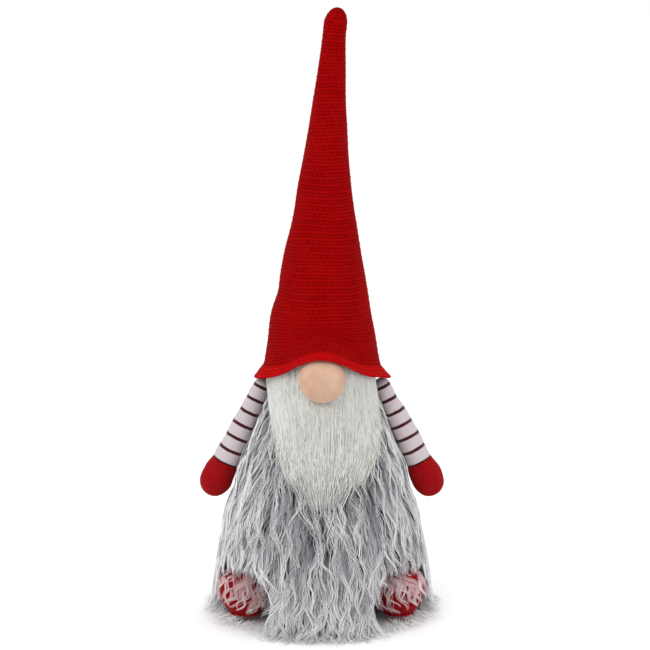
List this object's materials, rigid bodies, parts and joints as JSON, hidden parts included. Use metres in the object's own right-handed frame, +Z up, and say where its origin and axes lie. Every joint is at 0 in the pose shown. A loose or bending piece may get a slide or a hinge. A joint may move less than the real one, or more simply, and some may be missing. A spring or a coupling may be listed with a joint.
{
  "type": "tomte gnome plush figure",
  "caption": "Standing stuffed gnome figure with a tall bendable knit hat, round nose, long beard, shaggy fur coat, striped arms with mittens and felt boots.",
  "frame": {"origin": "middle of the flat underside of the base cover, on the surface it stands on", "axes": "+Z up along the body and hat, the face looks along -Y, the gnome's own left hand is at +X"},
  "size_m": [0.2468, 0.224, 0.602],
  "materials": {
    "grey_fur": "matte",
    "white_fur": "matte",
    "red_knit": "matte",
    "bright_knit": "matte",
    "red_felt": "matte",
    "skin_cloth": "matte",
    "striped_jersey": "matte",
    "lining_cloth": "matte",
    "grey_felt": "matte",
    "fibre_fill": "matte",
    "board": "matte",
    "pellet_bag": "matte",
    "steel_wire": "satin"
  },
  "bodies": {
    "torso": {"base_cover": "grey_felt", "base_plate": "board", "ballast_bag": "pellet_bag", "body_lining": "lining_cloth", "body_stuffing": "fibre_fill", "fur_coat": "grey_fur", "beard": "white_fur", "nose_cover": "skin_cloth", "nose_stuffing": "fibre_fill", "hat_hem": "bright_knit", "hat_knit_lower": "red_knit", "hat_stuffing_lower": "fibre_fill", "hat_wire_lower": "steel_wire", "left_foot_tab": "grey_felt", "right_foot_tab": "grey_felt"},
    "hat_middle": {"hat_knit_middle": "red_knit", "hat_stuffing_middle": "fibre_fill", "hat_wire_middle": "steel_wire"},
    "hat_tip": {"hat_knit_tip": "red_knit", "hat_stuffing_tip": "fibre_fill", "hat_wire_tip": "steel_wire"},
    "left_shoulder": {"left_arm_tab": "lining_cloth"},
    "left_arm": {"left_sleeve": "striped_jersey", "left_mitten": "red_felt", "left_arm_stuffing": "fibre_fill"},
    "left_foot": {"left_boot": "red_felt", "left_boot_stuffing": "fibre_fill", "left_boot_sole": "red_felt"},
    "right_shoulder": {"right_arm_tab": "lining_cloth"},
    "right_arm": {"right_sleeve": "striped_jersey", "right_mitten": "red_felt", "right_arm_stuffing": "fibre_fill"},
    "right_foot": {"right_boot": "red_felt", "right_boot_stuffing": "fibre_fill", "right_boot_sole": "red_felt"}
  },
  "joints": [
    {"name": "hat_bend_low", "type": "hinge", "parent": "torso", "child": "hat_middle", "pos_m": [0.00109, 0, 0.37023], "axis": [0, 1, 0], "range_deg": [-60, 60]},
    {"name": "hat_bend_high", "type": "hinge", "parent": "hat_middle", "child": "hat_tip", "pos_m": [0.00572, 0, 0.48885], "axis": [0, 1, 0], "range_deg": [-60, 60]},
    {"name": "left_arm_swing", "type": "hinge", "parent": "torso", "child": "left_shoulder", "pos_m": [0.06042, 0, 0.228], "axis": [-1, 0, 0], "range_deg": [-45, 70]},
    {"name": "left_arm_raise", "type": "hinge", "parent": "left_shoulder", "child": "left_arm", "pos_m": [0.06042, 0, 0.228], "axis": [0, -1, 0], "range_deg": [0, 45]},
    {"name": "left_boot_tip", "type": "hinge", "parent": "torso", "child": "left_foot", "pos_m": [0.076, -0.0155, 0.011], "axis": [-1, 0, 0], "range_deg": [0, 25]},
    {"name": "right_arm_swing", "type": "hinge", "parent": "torso", "child": "right_shoulder", "pos_m": [-0.06042, 0, 0.228], "axis": [-1, 0, 0], "range_deg": [-45, 70]},
    {"name": "right_arm_raise", "type": "hinge", "parent": "right_shoulder", "child": "right_arm", "pos_m": [-0.06042, 0, 0.228], "axis": [0, 1, 0], "range_deg": [0, 45]},
    {"name": "right_boot_tip", "type": "hinge", "parent": "torso", "child": "right_foot", "pos_m": [-0.076, -0.0155, 0.011], "axis": [-1, 0, 0], "range_deg": [0, 25]}
  ]
}
